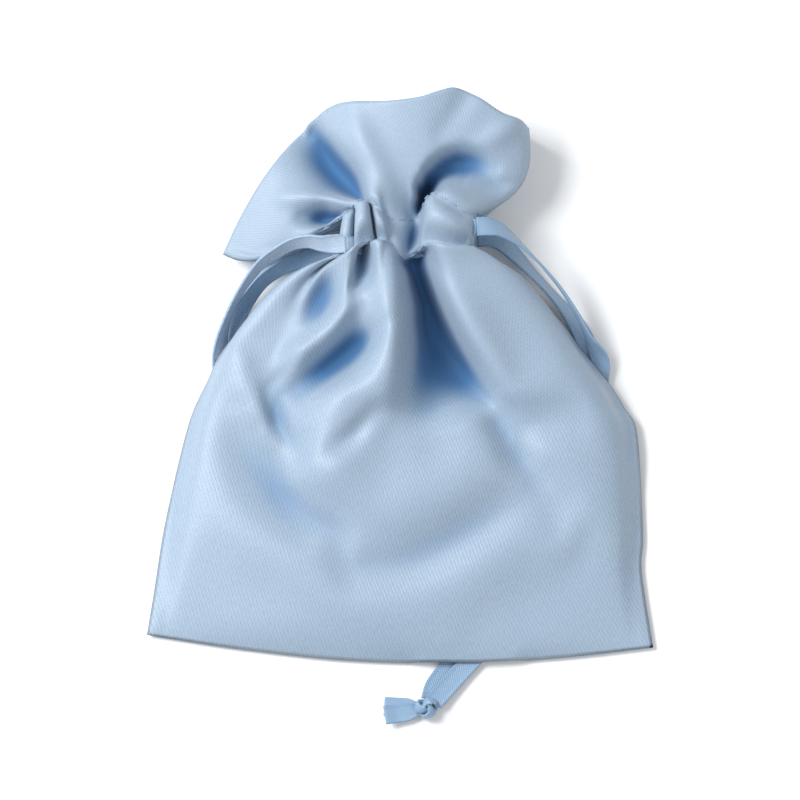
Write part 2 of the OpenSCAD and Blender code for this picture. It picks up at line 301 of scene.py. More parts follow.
# Routes in metres with the ribbon's roll in degrees: 0 flat, 90 on its edge
drawstring = {"width": 3.0 * mm, "thickness": 0.42 * mm, "step": 0.35 * mm}
routes = {
    "left_front": [
        (-0.0085, 0.02015, 0.0135, 0), (-0.0105, 0.0201, 0.0133, 25), (-0.0124, 0.0202, 0.0128, 48),
        (-0.0146, 0.0207, 0.0119, 60), (-0.017, 0.0205, 0.0106, 64), (-0.0195, 0.0194, 0.0091, 66),
        (-0.022, 0.0178, 0.0074, 70), (-0.0242, 0.0153, 0.0058, 75), (-0.0262, 0.0122, 0.0044, 78),
        (-0.0276, 0.009, 0.0032, 72), (-0.0283, 0.006, 0.0022, 50), (-0.0282, 0.003, 0.0013, 10),
        (-0.028, -0.001, 0.001, 0), (-0.0282, -0.008, 0.001, 0), (-0.0276, -0.014, 0.001, 0),
        (-0.0252, -0.021, 0.001, 0), (-0.0205, -0.0274, 0.001, 0), (-0.0135, -0.0316, 0.001, 0),
        (-0.006, -0.0332, 0.001, 0), (0, -0.0332, 0.0012, 0), (0.0034, -0.0328, 0.0015, 0)],
    "left_back": [
        (-0.0085, 0.02015, 0.0035, 0), (-0.0105, 0.02, 0.0034, 0), (-0.013, 0.0199, 0.0032, 20),
        (-0.016, 0.0193, 0.0029, 40), (-0.019, 0.018, 0.0026, 50), (-0.0218, 0.016, 0.0023, 52),
        (-0.024, 0.0132, 0.0019, 46), (-0.0258, 0.0104, 0.0013, 25), (-0.027, 0.007, 0.0005, 0),
        (-0.0275, 0.0036, 0.00035, 0), (-0.0274, -0.001, 0.00035, 0), (-0.0276, -0.008, 0.00035, 0),
        (-0.0268, -0.014, 0.00035, 0), (-0.0242, -0.0208, 0.00035, 0), (-0.0194, -0.0264, 0.00035, 0),
        (-0.0129, -0.0299, 0.00035, 0), (-0.0058, -0.0315, 0.00035, 0), (0, -0.0317, 0.0006, 0),
        (0.0034, -0.0319, 0.0009, 0)],
    "right_front": [
        (0.0121, 0.02285, 0.0135, 0), (0.014, 0.0229, 0.0132, 12), (0.0158, 0.0226, 0.0123, 40),
        (0.0182, 0.0212, 0.0109, 66), (0.0206, 0.0192, 0.0092, 78), (0.023, 0.0169, 0.0076, 84),
        (0.0256, 0.0139, 0.006, 88), (0.028, 0.0103, 0.0046, 94), (0.0299, 0.0067, 0.0032, 106),
        (0.0316, 0.0034, 0.0017, 155), (0.0315, 0.0006, 0.00115, 175), (0.0312, -0.004, 0.001, 180),
        (0.0308, -0.01, 0.001, 180), (0.0298, -0.016, 0.001, 180), (0.0272, -0.0232, 0.001, 180),
        (0.023, -0.0304, 0.001, 180), (0.018, -0.037, 0.001, 180), (0.0134, -0.0422, 0.001, 180),
        (0.0096, -0.0464, 0.001, 180), (0.007, -0.0494, 0.0012, 180), (0.0054, -0.0513, 0.0015, 180)],
    "right_back": [
        (0.0121, 0.02285, 0.0035, 0), (0.014, 0.0229, 0.0033, 5), (0.016, 0.0222, 0.003, 15),
        (0.0184, 0.02, 0.0026, 40), (0.021, 0.0172, 0.0023, 58), (0.0242, 0.0138, 0.002, 60),
        (0.0271, 0.0103, 0.0016, 42), (0.0293, 0.0066, 0.00085, 8), (0.0302, 0.003, 0.0004, 0),
        (0.0308, -0.0025, 0.00035, 0), (0.0304, -0.009, 0.00035, 0), (0.029, -0.0154, 0.00035, 0),
        (0.026, -0.0226, 0.00035, 0), (0.0216, -0.0294, 0.00035, 0), (0.0166, -0.0356, 0.00035, 0),
        (0.012, -0.0408, 0.00035, 0), (0.0082, -0.045, 0.00035, 0), (0.0056, -0.0484, 0.0006, 0),
        (0.0048, -0.0509, 0.0009, 0)],
}
knotPlaces = {"left": (0.0052, -0.0324, 0.0016), "right": (0.0042, -0.0523, 0.0016)}
tailValues = {
    "length": 6.7 * mm, "width": 3 * mm, "thickness": 0.4 * mm, "step": 0.3 * mm,
    "left": {"turn": 5.0, "spread": 7.0},
    "right": {"turn": 183.0, "spread": 7.0},
}


# A ribbon's section: flat, with a slightly thicker woven edge on both sides
ribbonSection = [(-0.5, 0.42), (-0.44, 0.5), (-0.36, 0.40), (-0.15, 0.36), (0.15, 0.36), (0.36, 0.40),
                 (0.44, 0.5), (0.5, 0.42), (0.5, -0.42), (0.44, -0.5), (0.36, -0.40), (0.15, -0.36),
                 (-0.15, -0.36), (-0.36, -0.40), (-0.44, -0.5), (-0.5, -0.42)]


# Turns the faces of a closed mesh outwards
def fixNormals(piece):
    made = bmesh.new()
    made.from_mesh(piece.data)
    bmesh.ops.recalc_face_normals(made, faces=made.faces)
    made.to_mesh(piece.data)
    made.free()


# A closed flat ribbon through points, given the ways of its width and thickness at each
def sweepRibbon(name, points, wide, thick, widths, thickness, length, material):
    count = len(points)
    n = len(ribbonSection)
    verts = []
    uvs = []
    for k in range(count):
        for x, z in ribbonSection:
            verts.append(points[k] + x * widths[k] * wide[k] + z * thickness * thick[k])
            uvs.append((x + 0.5, k / (count - 1) * length * 10))
    faces = []
    for k in range(count - 1):
        for i in range(n):
            a = k * n + i
            b = k * n + (i + 1) % n
            faces.append((a, a + n, b + n, b))
    faces.append(tuple(range(n)))
    faces.append(tuple(reversed(range((count - 1) * n, count * n))))
    made = makeMesh(name, verts, faces, [material], uvs)
    fixNormals(made)
    return made


# A flat ribbon along a route of x, y, z, roll, with square-cut ends
def ribbon(name, route, material, width, thickness, step, squeeze=None):
    _, length = spline(route, 4)
    count = max(6, int(length / step))
    line, _ = spline(route, count)
    rolls = np.radians(line[:, 3])
    points = line[:, :3]
    along = unit(np.gradient(points, axis=0))
    side = unit(np.cross(along, np.array([0.0, 0.0, 1.0])))
    up = np.cross(side, along)
    wide = np.cos(rolls)[:, None] * side + np.sin(rolls)[:, None] * up
    thick = np.cross(wide, along)
    widths = [width * (squeeze(k / (count - 1)) if squeeze else 1.0) for k in range(count)]
    made = sweepRibbon(name, points, wide, thick, widths, thickness, length, material)
    return made, points, length


def moreAlong(path, count=160):
    line, _ = spline([tuple(p) for p in path], count)
    return [tuple(float(c) for c in p[:3]) for p in line]


knotValues = {"points": 120, "rings": 12, "size": (0.52, 0.44, 0.62), "width": 0.95 * mm,
              "thickness": 0.42 * mm, "pleat": 0.10, "crumple": 0.10, "turn": {"left": 0.4, "right": 0.2}}


# An overhand knot pulled tight: a bunched ribbon that follows a knotted line
def knot(name, at, material, turn):
    count = knotValues["points"]
    rings = knotValues["rings"]
    points = []
    for k in range(count + 1):
        a = 2 * math.pi * k / count
        x = (math.sin(a) + 2 * math.sin(2 * a)) * knotValues["size"][0]
        y = (math.cos(a) - 2 * math.cos(2 * a)) * knotValues["size"][1]
        z = -math.sin(3 * a) * knotValues["size"][2] * (0.99 + 0.11 * math.cos(3 * a))
        c, s = math.cos(turn), math.sin(turn)
        points.append((x * c - y * s, x * s + y * c, z))
    points = np.array(points) * mm
    along = unit(np.gradient(points, axis=0))
    along[0] = along[-1] = unit(points[1] - points[-2])
    out = unit(points - points.mean(0))
    wide = unit(np.cross(along, out))
    thick = unit(np.cross(wide, along))
    verts = []
    uvs = []
    for k in range(count):
        pleat = 1 + knotValues["pleat"] * math.sin(k * 0.9)
        for i in range(rings):
            b = 2 * math.pi * i / rings
            crumple = 1 + knotValues["crumple"] * math.cos(3 * b + k * 0.35)
            across = knotValues["width"] * pleat * crumple * math.cos(b)
            verts.append(np.array(at) + points[k] + across * wide[k]
                         + knotValues["thickness"] * math.sin(b) * thick[k])
            uvs.append((0.5 + 0.4 * math.cos(b), k / count * 0.14))
    faces = []
    for k in range(count):
        for i in range(rings):
            a = k * rings + i
            b = k * rings + (i + 1) % rings
            m = ((k + 1) % count) * rings
            faces.append((a, m + i, m + (i + 1) % rings, b))
    made = makeMesh(name, verts, faces, [material], uvs)
    fixNormals(made)
    return made


# The two square-cut ends past the knot, one over the other
def tails(name, side, material):
    values = tailValues[side]
    at = knotPlaces[side]
    parts = []
    for spread, low, curl in ((-1, 0.00033, 0.0), (1, 0.0010, 0.0006)):
        a = math.radians(values["turn"] + spread * values["spread"])
        c, s = math.cos(a), math.sin(a)
        far = tailValues["length"]
        route = [(at[0] + 0.6 * mm * c, at[1] + 0.6 * mm * s, at[2] - 0.2 * mm, 0),
                 (at[0] + 0.36 * far * c, at[1] + 0.36 * far * s, 0.5 * (at[2] + low), 10 * spread),
                 (at[0] + 0.68 * far * c, at[1] + 0.68 * far * s, low + 0.2 * mm, 4 * spread),
                 (at[0] + far * c, at[1] + far * s, low + curl, 0)]
        part, _, _ = ribbon(name + str(len(parts)), route, material, tailValues["width"],
                            tailValues["thickness"], tailValues["step"],
                            lambda f: 0.45 + 0.55 * float(smooth(f * 2.2)))
        parts.append(part)
    return joined(name, parts)


# One object out of several, at the origin
def joined(name, parts):
    with bpy.context.temp_override(active_object=parts[0], selected_editable_objects=parts):
        bpy.ops.object.join()
    parts[0].name = name
    parts[0].data.name = name
    return parts[0]


# The ribbon inside the casing: along the front, round the far side and back
loopValues = {
    "width": 2.4 * mm, "thickness": 0.4 * mm, "points": 160,
    "left": [(-8.5, 20.15, 13.5), (-7.2, 20.15, 12.6), (-6.2, 20.15, 10.2), (-5.4, 20.15, 8.6),
             (-2, 20.15, 8.2), (5, 20.15, 8.2), (9.6, 20.15, 8.2), (10.5, 20.15, 7.6),
             (9.6, 20.15, 7.0), (5, 20.15, 7.0), (-2, 20.15, 7.0), (-5.4, 20.15, 6.9), (-6.0, 20.15, 6.0),
             (-6.2, 20.15, 4.6), (-6.8, 20.15, 3.5), (-8.5, 20.15, 3.5)],
    "right": [(12.1, 22.85, 13.5), (10.6, 22.85, 12.8), (9.6, 22.85, 11.0), (8.6, 22.85, 9.0),
              (5, 22.85, 8.2), (-2, 22.85, 8.2), (-6.4, 22.85, 8.2), (-7.2, 22.85, 7.6),
              (-6.4, 22.85, 7.0), (-2, 22.85, 7.0), (5, 22.85, 7.0), (8.4, 22.85, 6.6),
              (9.4, 22.85, 5.4), (10.6, 22.85, 4.1), (12.1, 22.85, 3.5)],
}


def loop(name, side, material):
    route = [(x * mm, y * mm, z * mm, 0) for x, y, z in loopValues[side]]
    count = loopValues["points"]
    line, length = spline(route, count)
    points = line[:, :3]
    along = unit(np.gradient(points, axis=0))
    wide = np.tile(np.array([0.0, 1.0, 0.0]), (count, 1))
    thick = unit(np.cross(wide, along))
    return sweepRibbon(name, points, wide, thick, [loopValues["width"]] * count,
                       loopValues["thickness"], length, material)


def addDrawstring(side, material):
    body = side + "_drawstring"
    knotted = knot(side + "_knot_ribbon", knotPlaces[side], material, knotValues["turn"][side])
    tailed = tails(side + "_tail_ribbons", side, material)
    looped = loop(side + "_loop_ribbon", side, material)
    for piece, node in ((knotted, "_knot"), (tailed, "_tails"), (looped, "_casing_loop")):
        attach(piece, body)
        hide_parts(side + node)
    for face in ("front", "back"):
        name = side + "_" + face
        route = routes[name]
        # painted shade: the back strand takes the darker right-ribbon material, which on the left ribbon
        # stands for shade
        tone = material if face == "front" else rightRibbonAndPaintedShade
        strand, points, length = ribbon(name + "_ribbon", route, tone, drawstring["width"],
                                        drawstring["thickness"], drawstring["step"])
        print(name, "length", round(float(length), 4))
        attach(strand, body)
        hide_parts(name + "_strand")
        moreAlong(points[::4])


addDrawstring("left", leftRibbon)
addDrawstring("right", rightRibbonAndPaintedShade)
print("drawstrings done")


# Cloth of the pouch, in millimetres until the mesh is made

pattern = {"width": 80.0, "body": 74.0, "casing": 6.0, "frill": 20.0, "columns": 65,
           "bodyRows": 60, "casingRows": 6, "frillRows": 17}
columns = pattern["columns"]
casingStart = pattern["bodyRows"] - 1
casingEnd = casingStart + pattern["casingRows"] - 1
rowPlaces = np.concatenate([np.linspace(0, 74, pattern["bodyRows"]),
                            np.linspace(74, 80, pattern["casingRows"])[1:],
                            np.linspace(80, 100, pattern["frillRows"])[1:]])
columnPlaces = np.linspace(0, pattern["width"], columns)
rows = len(rowPlaces)

leftSide = [(-40, -40.5), (-38.9, -33.8), (-37.3, -23.5), (-34.9, -12.6), (-32.9, -5.3), (-30.5, -.1),
            (-28.1, 4.9), (-22.6, 10.8), (-17.5, 15), (-12.5, 17.2), (-7.6, 18.3)]
rightSide = [(40, -42.5), (38.2, -30.3), (38.4, -24), (37.5, -8.5), (35.7, -4.6), (32.9, -.1),
             (28.3, 5.6), (25.4, 9.5), (20.1, 15), (16, 17.4), (11.2, 18.3)]
bottomEdge = [(-40, -40.5), (-25, -42.8), (-8, -44.6), (10, -45), (25, -44.2), (40, -42.5)]
# The gathered casing seen from the mouth: x and z of its front and its back
frontPleats = [(-7.6, 8.4), (-9.0, 9.8), (-9.6, 11.8), (-9.0, 13.8), (-7.9, 13.8), (-7.3, 12.4),
               (-7.3, 11.4), (-7.0, 12.4), (-7.2, 14.6), (-6.5, 16.5), (-5.2, 16.4), (-4.5, 14.6),
               (-4.5, 12.4), (-4.3, 11.6), (-4.0, 12.6), (-4.0, 14.6), (-3.3, 15.7), (-2.4, 15.2),
               (-1.9, 13.4), (-1.3, 12.9), (-.4, 12.4), (.6, 11.2), (1.5, 9.4), (2.1, 9.2),
               (2.9, 10.4), (3.4, 12.2), (3.6, 14.4), (4.6, 16.6), (6.6, 17.4), (9.0, 16.8),
               (10.9, 14.8), (11.7, 12), (11.2, 8.4)]
backPleats = [(-7.6, 8.4), (-8.6, 5.5), (-8.4, 2.4), (-7.2, .9), (-5.8, 1.6), (-5.7, 4.2), (-4.9, 6),
              (-4.0, 4.6), (-3.9, 1.8), (-2.8, .9), (-1.7, 1.8), (-1.6, 4.4), (-.7, 6.2), (.3, 4.4),
              (.3, 1.8), (1.4, .9), (2.5, 1.8), (2.6, 4.4), (3.5, 6.2), (4.5, 4.4), (4.5, 1.8),
              (5.6, .9), (6.7, 1.8), (6.8, 4.4), (7.7, 6.0), (8.5, 4.4), (8.7, 2), (9.9, .9),
              (11.2, 2.2), (11.8, 5.5), (11.2, 8.4)]
frontHem = [(-28, 20.2, 3), (-25.4, 25.6, 4.6), (-22, 31.2, 6.6), (-18, 36.6, 7.4), (-14.6, 40.2, 7.2),
            (-11, 42.6, 9.6), (-7, 43.0, 12.6), (-2, 42.8, 14.8), (3, 43.3, 15.6), (6.4, 44.4, 15.4),
            (9, 44.9, 15), (12.4, 43.6, 14), (16, 41.4, 12.6), (19, 40.4, 10.8), (20.4, 39.4, 9)]
backHem = [(-28, 20.2, 3), (-25, 26, 1.5), (-21.5, 31.4, 2.6), (-17, 36.8, 1.4), (-12.5, 40, 2.8),
           (-8.5, 41.2, 1.2), (-3.5, 42.2, 3.6), (2, 42.0, 1.2), (7, 43.0, 3.8), (11, 43.0, 1.6),
           (15, 41.8, 3.4), (18.3, 40.6, 4), (20.4, 39.4, 9)]
casingFrom, casingTo = 18.3, 24.7
# How far the front's two stitch lines wander up and down, from left to right
lowerWander = [(-9.3, 0.2), (-7.4, 0.6), (-5.6, 2.0), (-3.4, 2.6), (-1.6, 2.2), (0.6, 0.0), (3.0, 1.4),
               (4.4, 2.0), (7, 1.4), (10.6, 1.5), (11.6, 0.2)]
upperWander = [(-9.3, 0.0), (-8.2, 0.6), (-5.4, 2.1), (-3.6, 1.4), (-0.8, -1.2), (2.6, -0.6), (3.8, 2.4),
               (5.2, 2.8), (7.4, 1.8), (10.2, -0.2), (11.6, 0.0)]

# Folds of the pouch: a line in the plane, its height and half width along the way, and how much
# wider the fold is on the left and on the right of the line
bodyFolds = [
    # the valley below the neck, deepest against the right panel's edge and open to the left
    {"line": [(2.2, 20), (3.4, 14.5), (5.6, 8.5), (8.6, 3), (12, -1.6), (14.6, -5.6)],
     "height": [-4.5, -7.0, -8.2, -7.6, -5.0, -1.2], "width": [1.1, 1.7, 2.4, 2.8, 3.0, 3.0],
     "right": 1.7, "left": 0.9},
    {"line": [(2.6, 7), (3.4, 1), (4.4, -4.6), (6, -10)],
     "height": [-1.5, -3.2, -2.8, -0.8], "width": [2.4, 3.6, 4.6, 5]},
    # the right panel's rolled left edge
    {"line": [(6, 20), (6.6, 14), (9.8, 8.4), (13.4, 2.4), (16.8, -2.8)],
     "height": [0.6, 1.6, 2.4, 2.2, 1.0], "width": [1.6, 2.4, 3.2, 3.6, 4.0], "left": 1.5, "right": 0.8},
    # the tongue left of the valley, steep on its right
    {"line": [(-2.4, 19), (-1.0, 13.5), (-0.8, 8), (-0.9, 2), (-1.8, -3), (-5.6, -8)],
     "height": [0.5, 2.4, 3.2, 3.0, 2.0, 0.7], "width": [1.8, 2.2, 2.4, 2.6, 2.8, 3.0],
     "left": 0.75, "right": 1.5},
    # the pocket between the pleats and the teardrop left of it
    {"line": [(-5.4, 19.5), (-5.6, 16.5), (-6.2, 14)], "height": [-1.5, -3.4, -1.6],
     "width": [0.9, 1.3, 1.4]},
    {"line": [(-8.2, 18), (-8.8, 13.5), (-9, 9.5)], "height": [0.8, 1.8, 0.8],
     "width": [1.1, 1.4, 1.8]},
    {"line": [(-9.8, 18), (-11.6, 14), (-13.2, 10), (-13.6, 6.8)], "height": [-1.5, -3.6, -3.2, -1.0],
     "width": [1.5, 2.3, 2.8, 2.6]},
    # the diagonal ridge and the broad dark band under it
    {"line": [(-6.5, 12), (-9.5, 9.2), (-12.8, 5.6), (-17, 2.4), (-20.5, -0.2)],
     "height": [0.4, 2.2, 2.6, 2.0, 0.4], "width": [1.6, 1.9, 2.0, 2.0, 2.0]},
    {"line": [(-3.2, 6.8), (-7.6, 4.4), (-12.2, 1.2), (-16.6, -2.0)], "height": [-1.0, -3.2, -3.2, -1.2],
     "width": [1.8, 2.4, 2.7, 2.4]},
    # the swell between that band and the crease below it
    {"line": [(-4.4, -1.4), (-9, -3.6), (-13.4, -7.4)], "height": [0.8, 1.5, 0.8],
     "width": [2.6, 2.8, 2.8]},
    # creases on the left
    {"line": [(-17.8, 2.2), (-20.8, -1.4)], "height": [-0.9, -0.6], "width": [0.9, 0.9]},
    {"line": [(-26.0, 3.4), (-23.6, -3), (-22.4, -8), (-19, -12.8)], "height": [0.6, 1.8, 1.5, 0.4],
     "width": [1.8, 1.6, 1.6, 1.8], "right": 1.6},
    {"line": [(-24.2, 0), (-20.8, -5.6), (-19.4, -9), (-16.6, -12.4)], "height": [-0.3, -1.4, -1.2, -0.3],
     "width": [1.5, 1.6, 1.6, 1.9]},
    {"line": [(-3.6, -6.4), (-7.4, -10.2), (-11.7, -13.8)], "height": [-1.0, -1.4, -0.5],
     "width": [1.4, 1.4, 1.6]},
    # the broad valley lower left, the bright swell right of it and the band along the bottom
    {"line": [(-25.5, -6), (-24, -12), (-20, -18), (-13, -22.5), (-6, -24)],
     "height": [-0.6, -1.7, -2.1, -1.9, -0.7], "width": [3.4, 4.2, 4.6, 4.6, 4.4], "left": 0.8},
    {"line": [(-9.5, -9), (-11.2, -15), (-12.5, -19.6)], "height": [0.9, 1.7, 0.8], "width": [5, 5, 5]},
    {"line": [(-7, -30), (3, -28), (13, -23.6), (21, -20)], "height": [-0.8, -1.8, -1.8, -0.6],
     "width": [4, 4.4, 4.4, 4.4]},
    # the dents right of the valley's end
    {"line": [(15, -5.0), (20, -7.6), (27, -7.2)], "height": [-1.2, -1.6, -0.7], "width": [2.8, 3.4, 3.6]},
    {"line": [(15.6, -8.4), (18.6, -13.0), (21.5, -16)], "height": [-1.0, -1.6, -0.7],
     "width": [2.0, 2.6, 2.6]},
    {"line": [(18, 12), (24, 3), (28, -4)], "height": [0.5, 0.8, 0.4], "width": [4.5, 6, 6]},
]
frillFolds = [
    # the wide hollow beside the central petal, steep at the petal
    {"line": [(-6.0, 27), (-7.6, 31), (-10.6, 34.8), (-13.6, 38.8)],
     "height": [-2.8, -5.6, -5.6, -3.0], "width": [1.4, 1.7, 2.0, 2.2], "left": 2.4, "right": 0.75},
    # the petal
    {"line": [(-2.4, 24.6), (-3.6, 30.4), (-7.0, 37), (-9, 42)], "height": [0.8, 2.2, 2.4, 1.2],
     "width": [2.2, 2.8, 3.0, 3.2]},
    # the upright dark line and the arched hollow that it turns into, steep outside the arch
    {"line": [(3.3, 24.2), (3.4, 27), (3.7, 29.4)], "height": [-4.8, -5.2, -4.4],
     "width": [0.8, 1.0, 1.2], "right": 1.6, "left": 0.8},
    {"line": [(3.8, 29.6), (5.4, 32.0), (8.3, 33.9), (11.6, 34.0), (14.2, 32.4)],
     "height": [-4.4, -5.2, -5.0, -3.6, -1.4], "width": [1.2, 1.4, 1.6, 1.7, 1.7],
     "left": 0.8, "right": 2.0},
    # the rolled left flap over its round hollow
    {"line": [(-18, 28.4), (-12.6, 28.0), (-9.2, 27.0), (-7.6, 25.8)], "height": [0.8, 1.8, 1.8, 0.8],
     "width": [1.5, 1.4, 1.2, 1.1]},
    {"line": [(-14.6, 25.2), (-12, 25.2), (-10, 25.0)], "height": [-2.0, -4.6, -3.8],
     "width": [1.6, 1.9, 1.6]},
    {"line": [(6.5, 38), (9, 41.5), (11, 45)], "height": [-0.4, -0.7, -0.8], "width": [1.6, 1.8, 2]},
    {"line": [(13, 36), (16.5, 38.4), (19.4, 40)], "height": [0.6, 1.2, 1.0], "width": [1.8, 1.8, 1.8]},
]
# Room under the pouch for the ribbons, and its height over the table
lanes = [
    [(-29.6, 11.2), (-30, -4.6), (-28.8, -16.4), (-23.4, -27), (-13.2, -32.6), (-2.6, -34), (13, -32.5)],
    [(30.5, 12), (32.5, 3), (33.4, -6), (31.2, -18), (25, -29), (17, -38), (10.5, -45), (6, -50)],
]
knotRoom = (3.7, -32.4)


def foldHeight(x, y, folds):
    total = np.zeros(np.shape(x))
    for fold in folds:
        heights = fold["height"]
        line = [(*p, h, w) for p, h, w in zip(fold["line"], heights, fold["width"])]
        fine, _ = spline([(p[0], p[1], 0, p[2], p[3]) for p in line], 24)
        dist, along, side = nearLine(x, y, fine[:, :2])
        place = along * 23
        height = np.interp(place, np.arange(24), fine[:, 3])
        width = np.interp(place, np.arange(24), fine[:, 4])
        # wider on the left of the line's way than on its right, where the fold asks for it
        width = np.where(side > 0, width * fold.get("left", 1.0), width * fold.get("right", 1.0))
        total = total + height * np.exp(-(dist / width) ** 2)
    return total


# How high the pouch's back must stay over the table
def lift(x, y):
    height = np.full(np.shape(x), 0.45)
    for lane in lanes:
        dist, _, _ = nearLine(x, y, np.array(lane, float))
        height = np.maximum(height, 0.45 + 1.25 * smooth((8 - dist) / 3))
    dist = np.hypot(x - knotRoom[0], y - knotRoom[1])
    return np.maximum(height, 0.45 + 3.4 * smooth((8.5 - dist) / 4.5))


clothShape = {"dome": 13.2, "foldShare": 1.0, "cinch": 0.78, "lean": 0.9}
leftLine, _ = spline(leftSide, pattern["bodyRows"])
rightLine, _ = spline(rightSide, pattern["bodyRows"])
bottomLine, _ = spline(bottomEdge, columns)
frontNeck, frontArc = spline([(x, z, 0) for x, z in frontPleats], columns)
backNeck, backArc = spline([(x, z, 0) for x, z in backPleats], columns)
frontTop, frontHemArc = spline(frontHem, columns)
backTop, backHemArc = spline(backHem, columns)
print("gathered widths", round(frontArc, 1), round(backArc, 1), "hems", round(frontHemArc, 1),
      round(backHemArc, 1))


# How far a stitch line is from straight at a place across it
def wander(x, line):
    return np.interp(x, [p[0] for p in line], [p[1] for p in line])


# The pouch's front or back as a grid of places, from the bottom seam to the frill's hem
def clothGrid(front):
    neck = frontNeck if front else backNeck
    hem = frontTop if front else backTop
    grid = np.zeros((rows, columns, 3))
    s = columnPlaces / pattern["width"]
    u = 2 * s - 1
    low = wander(neck[:, 0], lowerWander) if front else 0 * s
    high = wander(neck[:, 0], upperWander) if front else 0 * s
    low[0] = low[-1] = high[0] = high[-1] = 0
    for k in range(rows):
        place = rowPlaces[k]
        if k < casingStart:
            v = place / pattern["body"]
            left, right = leftLine[k], rightLine[k]
            gathered = (neck[:, 0] - neck[0, 0]) / (neck[-1, 0] - neck[0, 0])
            w = v ** 3.4
            f = s * (1 - w) + gathered * w
            x = left[0] + (right[0] - left[0]) * f
            bow = (bottomLine[:, 1] - (leftLine[0, 1] * (1 - s) + rightLine[0, 1] * s)) * (1 - v) ** 2
            y = left[1] + (right[1] - left[1]) * s + bow
            if front:
                rise = math.sin(math.pi / 2 * min(1, v / 0.55)) ** 0.8
                dome = 0.9 + clothShape["dome"] * rise * np.clip(1 - u * u, 0, 1) ** 0.7
                z = dome * (1 - v ** 5) + neck[:, 1] * v ** 5
            else:
                z = 0.5 * (1 - v ** 6) + neck[:, 1] * v ** 6
                z = np.maximum(z, lift(x, y))
            edge = smooth(np.minimum(s, 1 - s) / 0.05)
            side = np.maximum(0.9 * (1 - v ** 6), lift(x, y) * (1 - v ** 6)) + neck[0, 1] * v ** 6
            z = side + (z - side) * edge
            if front:
                z = z + clothShape["foldShare"] * foldHeight(x, y, bodyFolds) * edge * smooth((1 - v) / .06)
                y = y + low * smooth((v - 0.86) / 0.14) * edge
            grid[k] = np.stack([x, y, z], 1)
        elif k <= casingEnd:
            q = (place - 74) / 6
            bulge = math.sin(math.pi * q)
            y = casingFrom + (casingTo - casingFrom) * q + low * (1 - q) + high * q
            middle = neck[:, 1].mean()
            z = middle + (neck[:, 1] - middle) * (clothShape["cinch"] + (1.08 - clothShape["cinch"]) * bulge)
            x = neck[:, 0] + clothShape["lean"] * (q - 0.5) * np.sin(neck[:, 0] * 0.55 + 0.6)
            ends = smooth(np.minimum(s, 1 - s) / 0.03)
            x = neck[:, 0] * (1 - ends) + x * ends
            z = neck[:, 1] * (1 - ends) + z * ends
            grid[k] = np.stack([x, y, z], 1)
        else:
            t = (place - 80) / pattern["frill"]
            start = grid[casingEnd].copy()
            start[:, 1] = casingTo + high * (1 - smooth(t / 0.4))
            # the pleats open and sink into a smooth fan
            soft = start.copy()
            spread = smooth(t * 2.2)
            even = np.linspace(start[0, 0], start[-1, 0], columns)
            soft[:, 0] = start[:, 0] * (1 - spread) + even * spread
            level = 12.2 if front else 3.5
            softer = level + (start[0, 2] - level) * np.abs(u) ** 3
            soft[:, 2] = start[:, 2] * (1 - spread) + softer * spread
            out = t + 0.16 * math.sin(math.pi * t)
            across = t
            row = soft + (hem - soft) * np.stack([0 * s + out, 0 * s + across, 0 * s + across], 1)
            # the left edge hangs low and the right one swells out
            row[:, 1] = row[:, 1] - 3.4 * math.sin(math.pi * t) * (1 - smooth(s / 0.3))
            swell = 2.0 * math.sin(math.pi * t) * smooth((s - 0.75) / 0.25)
            row[:, 0] = row[:, 0] + swell
            row[:, 1] = row[:, 1] - 0.8 * swell
            if front:
                fade = smooth(t / 0.12) * (smooth(np.minimum(s, 1 - s) / 0.06))
                row[:, 2] = row[:, 2] + foldHeight(row[:, 0], row[:, 1], frillFolds) * fade
            grid[k] = row
    if front:
        # the stitch lines pull the cloth in
        past = rowPlaces[:, None]
        ends = smooth(np.minimum(s, 1 - s) / 0.05)[None, :]
        raised = np.clip((neck[:, 1] - 11.5) / 5, 0, 1)[None, :]
        pull = 2.6 * np.exp(-((past - 74.4) / 1.5) ** 2) + 1.1 * np.exp(-((past - 80) / 1.2) ** 2)
        grid[:, :, 2] -= pull * raised * ends
    return grid


frontGrid = clothGrid(True)
backGrid = clothGrid(False)
clothValues = {
    "scale": 0.02, "frames": 26, "quality": 8, "mass": 0.3, "stretch": 15.0, "shear": 5.0,
    "bending": 5.0, "damping": 5, "bendingDamping": 1, "airDamping": 3, "pin": 5, "frillHeld": 0.35,
    "pressure": 0.45, "gravity": 0.15, "cap": 4.0, "gap": 0.005,
}


# Both sides of the pouch in one mesh: numbers of the front's and the back's points
def sewnNumbers():
    front = np.arange(rows * columns).reshape(rows, columns)
    back = np.full((rows, columns), -1)
    count = rows * columns
    for j in range(rows):
        for i in range(columns):
            slit = casingStart < j < casingEnd
            if (i in (0, columns - 1) and not slit) or j == 0:
                back[j, i] = front[j, i]
            else:
                back[j, i] = count
                count += 1
    return front, back, count


frontIds, backIds, pointCount = sewnNumbers()


